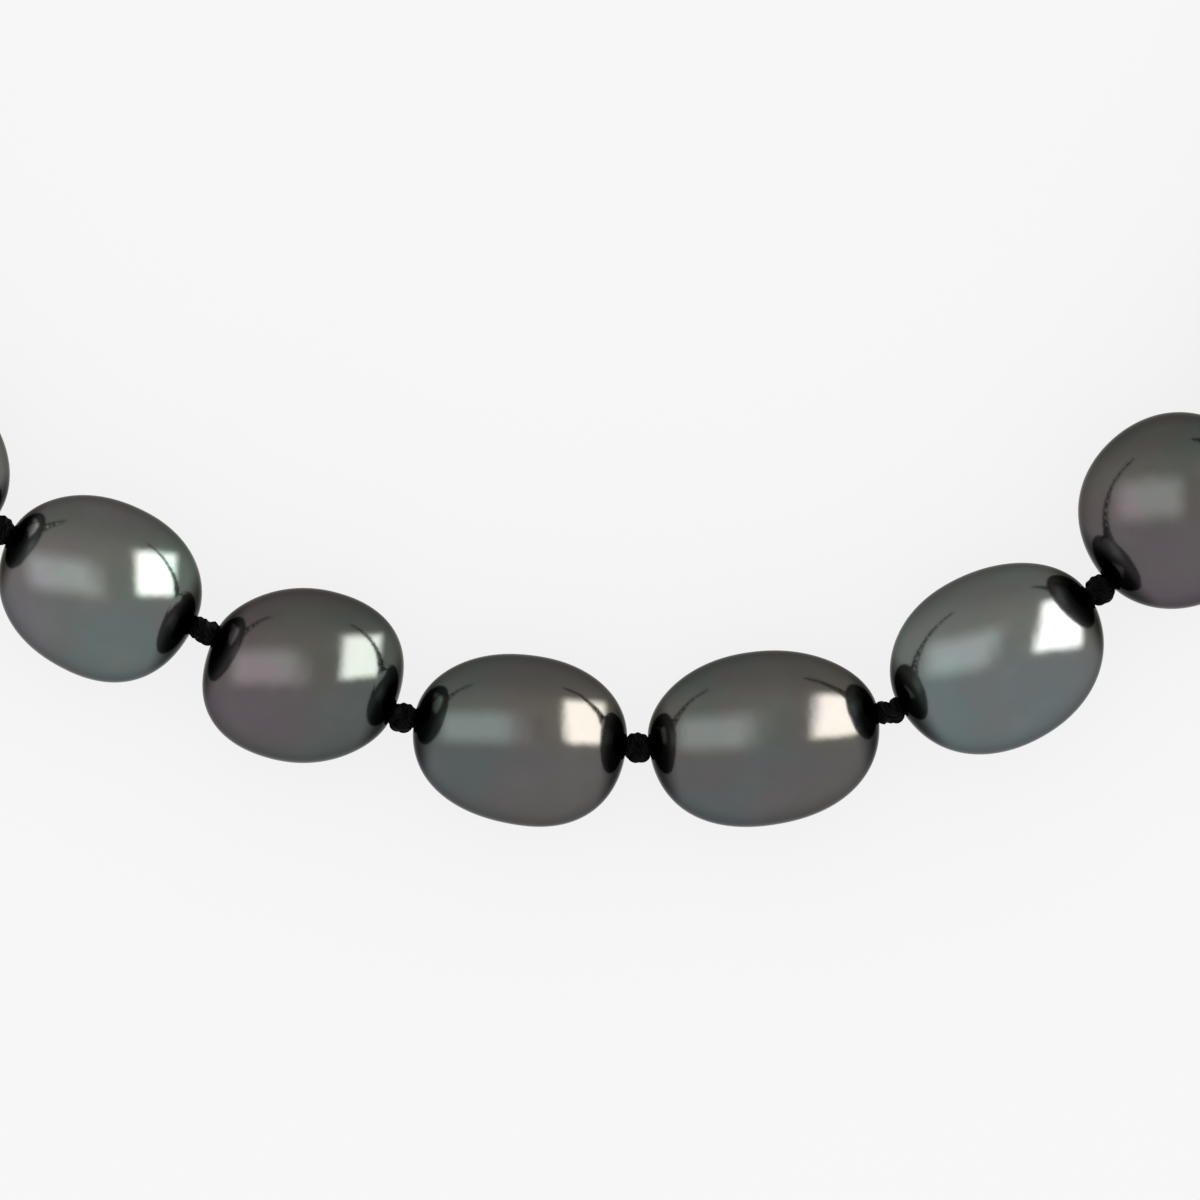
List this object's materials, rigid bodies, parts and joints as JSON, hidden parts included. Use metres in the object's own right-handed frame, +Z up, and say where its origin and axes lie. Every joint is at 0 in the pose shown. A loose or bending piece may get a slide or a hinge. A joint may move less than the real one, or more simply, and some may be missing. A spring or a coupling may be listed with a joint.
{
  "type": "pearl necklace",
  "caption": "Knotted strand of dark baroque pearls on black silk, lying unclasped in an open U, with french wire loops, an end ring and a lobster clasp.",
  "frame": {"origin": "middle of the strand's box, on the surface that the strand lies on", "axes": "+Z up from the surface, +Y from the front of the strand towards its open ends, +X to the wearer's left as drawn from above"},
  "size_m": [0.1498, 0.1748, 0.0129],
  "materials": {
    "nacre_grey": "mirror-bright nacre, dark grey with a faint green and rose overtone",
    "nacre_green": "mirror-bright nacre, dark grey with a green overtone",
    "nacre_aubergine": "mirror-bright nacre, dark grey with an aubergine overtone",
    "nacre_teal": "mirror-bright nacre, dark grey with a blue-green overtone",
    "silk": "black twisted silk, knotted",
    "white_metal": "polished white gold",
    "spring_steel": "drawn spring wire"
  },
  "bodies": {
    "silk_12": {"silk_12": "silk"},
    "silk_01": {"silk_01": "silk", "french_wire_loop_left": "white_metal"},
    "silk_02": {"silk_02": "silk"},
    "silk_03": {"silk_03": "silk"},
    "silk_04": {"silk_04": "silk"},
    "silk_05": {"silk_05": "silk"},
    "silk_06": {"silk_06": "silk"},
    "silk_07": {"silk_07": "silk"},
    "silk_08": {"silk_08": "silk"},
    "silk_09": {"silk_09": "silk"},
    "silk_10": {"silk_10": "silk"},
    "silk_11": {"silk_11": "silk"},
    "silk_13": {"silk_13": "silk"},
    "silk_14": {"silk_14": "silk"},
    "silk_15": {"silk_15": "silk"},
    "silk_16": {"silk_16": "silk"},
    "silk_17": {"silk_17": "silk"},
    "silk_18": {"silk_18": "silk"},
    "silk_19": {"silk_19": "silk"},
    "silk_20": {"silk_20": "silk"},
    "silk_21": {"silk_21": "silk"},
    "silk_22": {"silk_22": "silk"},
    "silk_23": {"silk_23": "silk"},
    "silk_24": {"silk_24": "silk", "french_wire_loop_right": "white_metal"},
    "pearl_01": {"pearl_01": "nacre_green"},
    "pearl_02": {"pearl_02": "nacre_grey"},
    "pearl_03": {"pearl_03": "nacre_aubergine"},
    "pearl_04": {"pearl_04": "nacre_teal"},
    "pearl_05": {"pearl_05": "nacre_grey"},
    "pearl_06": {"pearl_06": "nacre_green"},
    "pearl_07": {"pearl_07": "nacre_aubergine"},
    "pearl_08": {"pearl_08": "nacre_grey"},
    "pearl_09": {"pearl_09": "nacre_teal"},
    "pearl_10": {"pearl_10": "nacre_green"},
    "pearl_11": {"pearl_11": "nacre_aubergine"},
    "pearl_12": {"pearl_12": "nacre_grey"},
    "pearl_13": {"pearl_13": "nacre_grey"},
    "pearl_14": {"pearl_14": "nacre_teal"},
    "pearl_15": {"pearl_15": "nacre_aubergine"},
    "pearl_16": {"pearl_16": "nacre_grey"},
    "pearl_17": {"pearl_17": "nacre_green"},
    "pearl_18": {"pearl_18": "nacre_teal"},
    "pearl_19": {"pearl_19": "nacre_aubergine"},
    "pearl_20": {"pearl_20": "nacre_grey"},
    "pearl_21": {"pearl_21": "nacre_green"},
    "pearl_22": {"pearl_22": "nacre_grey"},
    "pearl_23": {"pearl_23": "nacre_aubergine"},
    "pearl_24": {"pearl_24": "nacre_green"},
    "clasp_jump_ring": {"clasp_jump_ring": "white_metal"},
    "clasp": {"clasp_claw": "white_metal", "clasp_pivot_pin": "spring_steel", "clasp_spring": "spring_steel"},
    "clasp_lever": {"clasp_lever": "white_metal"},
    "end_ring": {"end_ring": "white_metal"}
  },
  "joints": [
    {"name": "clasp_lever_open", "type": "hinge", "parent": "clasp", "child": "clasp_lever", "pos_m": [0.06578, 0.0778, 0.0016], "axis": [0, 0, -1], "range_deg": [0, 28], "stiffness_Nm_per_rad": 0.008, "springref_deg": -17.19, "deforming": ["clasp_spring"]},
    {"name": "jump_ring_swing", "type": "hinge", "parent": "silk_24", "child": "clasp_jump_ring", "pos_m": [0.06814, 0.07086, 0.00383], "axis": [1, 0, 0], "range_deg": [-10, 70]},
    {"name": "clasp_swivel", "type": "hinge", "parent": "clasp_jump_ring", "child": "clasp", "pos_m": [0.06814, 0.0737, 0.002], "axis": [0, 0, 1], "range_deg": [-50, 50]},
    {"name": "end_ring_swing", "type": "hinge", "parent": "silk_01", "child": "end_ring", "pos_m": [-0.06844, 0.05924, 0.00383], "axis": [1, 0, 0], "range_deg": [-45, 75]},
    {"name": "knot_01_02_bend", "type": "hinge", "parent": "silk_02", "child": "silk_01", "pos_m": [-0.06844, 0.04327, 0.00553], "axis": [0, 0, 1], "range_deg": [-42, 38]},
    {"name": "knot_02_03_bend", "type": "hinge", "parent": "silk_03", "child": "silk_02", "pos_m": [-0.06893, 0.02918, 0.0056], "axis": [0, 0, -1], "range_deg": [-41, 39]},
    {"name": "knot_03_04_bend", "type": "hinge", "parent": "silk_04", "child": "silk_03", "pos_m": [-0.06919, 0.01428, 0.00573], "axis": [0, 0, 1], "range_deg": [-37, 43]},
    {"name": "knot_04_05_bend", "type": "hinge", "parent": "silk_05", "child": "silk_04", "pos_m": [-0.06869, -0.00011, 0.00575], "axis": [0, 0, -1], "range_deg": [-46, 34]},
    {"name": "knot_05_06_bend", "type": "hinge", "parent": "silk_06", "child": "silk_05", "pos_m": [-0.06652, -0.01555, 0.00583], "axis": [0, 0, 1], "range_deg": [-34, 46]},
    {"name": "knot_06_07_bend", "type": "hinge", "parent": "silk_07", "child": "silk_06", "pos_m": [-0.06296, -0.02982, 0.0059], "axis": [0, 0, -1], "range_deg": [-49, 31]},
    {"name": "knot_07_08_bend", "type": "hinge", "parent": "silk_08", "child": "silk_07", "pos_m": [-0.05667, -0.04464, 0.00598], "axis": [0, 0, 1], "range_deg": [-29, 51]},
    {"name": "knot_08_09_bend", "type": "hinge", "parent": "silk_09", "child": "silk_08", "pos_m": [-0.04822, -0.05716, 0.00605], "axis": [0, 0, -1], "range_deg": [-53.8, 26.2]},
    {"name": "knot_09_10_bend", "type": "hinge", "parent": "silk_10", "child": "silk_09", "pos_m": [-0.03652, -0.06777, 0.00598], "axis": [0, 0, 1], "range_deg": [-23.6, 56.4]},
    {"name": "knot_10_11_bend", "type": "hinge", "parent": "silk_11", "child": "silk_10", "pos_m": [-0.02284, -0.07439, 0.00598], "axis": [0, 0, -1], "range_deg": [-41.8, 38.2]},
    {"name": "knot_11_12_bend", "type": "hinge", "parent": "silk_12", "child": "silk_11", "pos_m": [-0.00959, -0.08028, 0.00585], "axis": [0, 0, 1], "range_deg": [-23.3, 56.7]},
    {"name": "knot_12_13_bend", "type": "hinge", "parent": "silk_12", "child": "silk_13", "pos_m": [0.00608, -0.08229, 0.00575], "axis": [0, 0, 1], "range_deg": [-55.9, 24.1]},
    {"name": "knot_13_14_bend", "type": "hinge", "parent": "silk_13", "child": "silk_14", "pos_m": [0.02289, -0.07975, 0.0059], "axis": [0, 0, -1], "range_deg": [-19, 61]},
    {"name": "knot_14_15_bend", "type": "hinge", "parent": "silk_14", "child": "silk_15", "pos_m": [0.03698, -0.07175, 0.00622], "axis": [0, 0, 1], "range_deg": [-54.8, 25.2]},
    {"name": "knot_15_16_bend", "type": "hinge", "parent": "silk_15", "child": "silk_16", "pos_m": [0.04755, -0.06139, 0.0063], "axis": [0, 0, -1], "range_deg": [-27.4, 52.6]},
    {"name": "knot_16_17_bend", "type": "hinge", "parent": "silk_16", "child": "silk_17", "pos_m": [0.05621, -0.04806, 0.0061], "axis": [0, 0, 1], "range_deg": [-51, 29]},
    {"name": "knot_17_18_bend", "type": "hinge", "parent": "silk_17", "child": "silk_18", "pos_m": [0.06183, -0.03415, 0.00598], "axis": [0, 0, -1], "range_deg": [-31.5, 48.5]},
    {"name": "knot_18_19_bend", "type": "hinge", "parent": "silk_18", "child": "silk_19", "pos_m": [0.06564, -0.0183, 0.00595], "axis": [0, 0, 1], "range_deg": [-45.5, 34.5]},
    {"name": "knot_19_20_bend", "type": "hinge", "parent": "silk_19", "child": "silk_20", "pos_m": [0.06767, -0.00384, 0.00588], "axis": [0, 0, -1], "range_deg": [-36, 44]},
    {"name": "knot_20_21_bend", "type": "hinge", "parent": "silk_20", "child": "silk_21", "pos_m": [0.06875, 0.01162, 0.0058], "axis": [0, 0, 1], "range_deg": [-42.5, 37.5]},
    {"name": "knot_21_22_bend", "type": "hinge", "parent": "silk_21", "child": "silk_22", "pos_m": [0.06912, 0.02592, 0.00575], "axis": [0, 0, -1], "range_deg": [-37.5, 42.5]},
    {"name": "knot_22_23_bend", "type": "hinge", "parent": "silk_22", "child": "silk_23", "pos_m": [0.06886, 0.04091, 0.00562], "axis": [0, 0, 1], "range_deg": [-42, 38]},
    {"name": "knot_23_24_bend", "type": "hinge", "parent": "silk_23", "child": "silk_24", "pos_m": [0.06814, 0.05479, 0.00555], "axis": [0, 0, -1], "range_deg": [-43, 37]},
    {"name": "pearl_01_spin", "type": "hinge", "parent": "silk_01", "child": "pearl_01", "pos_m": [-0.06844, 0.04992, 0.00551], "axis": [0, -1, 0.0019], "continuous": true},
    {"name": "pearl_02_spin", "type": "hinge", "parent": "silk_02", "child": "pearl_02", "pos_m": [-0.06868, 0.03623, 0.00556], "axis": [-0.0349, -0.9994, 0.0053], "continuous": true},
    {"name": "pearl_03_spin", "type": "hinge", "parent": "silk_03", "child": "pearl_03", "pos_m": [-0.06906, 0.02173, 0.00566], "axis": [-0.0175, -0.9998, 0.0084], "continuous": true},
    {"name": "pearl_04_spin", "type": "hinge", "parent": "silk_04", "child": "pearl_04", "pos_m": [-0.06894, 0.00709, 0.00574], "axis": [0.0349, -0.9994, 0.0017], "continuous": true},
    {"name": "pearl_05_spin", "type": "hinge", "parent": "silk_05", "child": "pearl_05", "pos_m": [-0.0676, -0.00783, 0.00579], "axis": [0.1392, -0.9903, 0.0048], "continuous": true},
    {"name": "pearl_06_spin", "type": "hinge", "parent": "silk_06", "child": "pearl_06", "pos_m": [-0.06474, -0.02269, 0.00586], "axis": [0.2419, -0.9703, 0.0051], "continuous": true},
    {"name": "pearl_07_spin", "type": "hinge", "parent": "silk_07", "child": "pearl_07", "pos_m": [-0.05981, -0.03723, 0.00594], "axis": [0.3907, -0.9205, 0.0047], "continuous": true},
    {"name": "pearl_08_spin", "type": "hinge", "parent": "silk_08", "child": "pearl_08", "pos_m": [-0.05245, -0.0509, 0.00601], "axis": [0.5592, -0.829, 0.005], "continuous": true},
    {"name": "pearl_09_spin", "type": "hinge", "parent": "silk_09", "child": "pearl_09", "pos_m": [-0.04237, -0.06246, 0.00601], "axis": [0.7408, -0.6717, -0.0047], "continuous": true},
    {"name": "pearl_10_spin", "type": "hinge", "parent": "silk_10", "child": "pearl_10", "pos_m": [-0.02968, -0.07108, 0.00598], "axis": [0.9003, -0.4352, 0], "continuous": true},
    {"name": "pearl_11_spin", "type": "hinge", "parent": "silk_11", "child": "pearl_11", "pos_m": [-0.01621, -0.07734, 0.00591], "axis": [0.9135, -0.4067, -0.0086], "continuous": true},
    {"name": "pearl_12_spin", "type": "hinge", "parent": "silk_12", "child": "pearl_12", "pos_m": [-0.00175, -0.08129, 0.0058], "axis": [0.9919, -0.1271, -0.0063], "continuous": true},
    {"name": "pearl_13_spin", "type": "hinge", "parent": "silk_13", "child": "pearl_13", "pos_m": [0.01449, -0.08102, 0.00583], "axis": [0.9887, 0.1495, 0.0088], "continuous": true},
    {"name": "pearl_14_spin", "type": "hinge", "parent": "silk_14", "child": "pearl_14", "pos_m": [0.02994, -0.07575, 0.00606], "axis": [0.8693, 0.4938, 0.0201], "continuous": true},
    {"name": "pearl_15_spin", "type": "hinge", "parent": "silk_15", "child": "pearl_15", "pos_m": [0.04227, -0.06657, 0.00626], "axis": [0.7145, 0.6997, 0.0051], "continuous": true},
    {"name": "pearl_16_spin", "type": "hinge", "parent": "silk_16", "child": "pearl_16", "pos_m": [0.05188, -0.05473, 0.0062], "axis": [0.5446, 0.8386, -0.0126], "continuous": true},
    {"name": "pearl_17_spin", "type": "hinge", "parent": "silk_17", "child": "pearl_17", "pos_m": [0.05902, -0.0411, 0.00604], "axis": [0.3746, 0.9272, -0.0083], "continuous": true},
    {"name": "pearl_18_spin", "type": "hinge", "parent": "silk_18", "child": "pearl_18", "pos_m": [0.06373, -0.02622, 0.00596], "axis": [0.2334, 0.9724, -0.0015], "continuous": true},
    {"name": "pearl_19_spin", "type": "hinge", "parent": "silk_19", "child": "pearl_19", "pos_m": [0.06665, -0.01107, 0.00591], "axis": [0.1392, 0.9903, -0.0051], "continuous": true},
    {"name": "pearl_20_spin", "type": "hinge", "parent": "silk_20", "child": "pearl_20", "pos_m": [0.06821, 0.00389, 0.00584], "axis": [0.0698, 0.9976, -0.0048], "continuous": true},
    {"name": "pearl_21_spin", "type": "hinge", "parent": "silk_21", "child": "pearl_21", "pos_m": [0.06894, 0.01877, 0.00577], "axis": [0.0262, 0.9997, -0.0035], "continuous": true},
    {"name": "pearl_22_spin", "type": "hinge", "parent": "silk_22", "child": "pearl_22", "pos_m": [0.06899, 0.03341, 0.00569], "axis": [-0.0175, 0.9998, -0.0083], "continuous": true},
    {"name": "pearl_23_spin", "type": "hinge", "parent": "silk_23", "child": "pearl_23", "pos_m": [0.0685, 0.04785, 0.00559], "axis": [-0.0523, 0.9986, -0.0054], "continuous": true},
    {"name": "pearl_24_spin", "type": "hinge", "parent": "silk_24", "child": "pearl_24", "pos_m": [0.06814, 0.06149, 0.00553], "axis": [0, 1, -0.0037], "continuous": true}
  ]
}
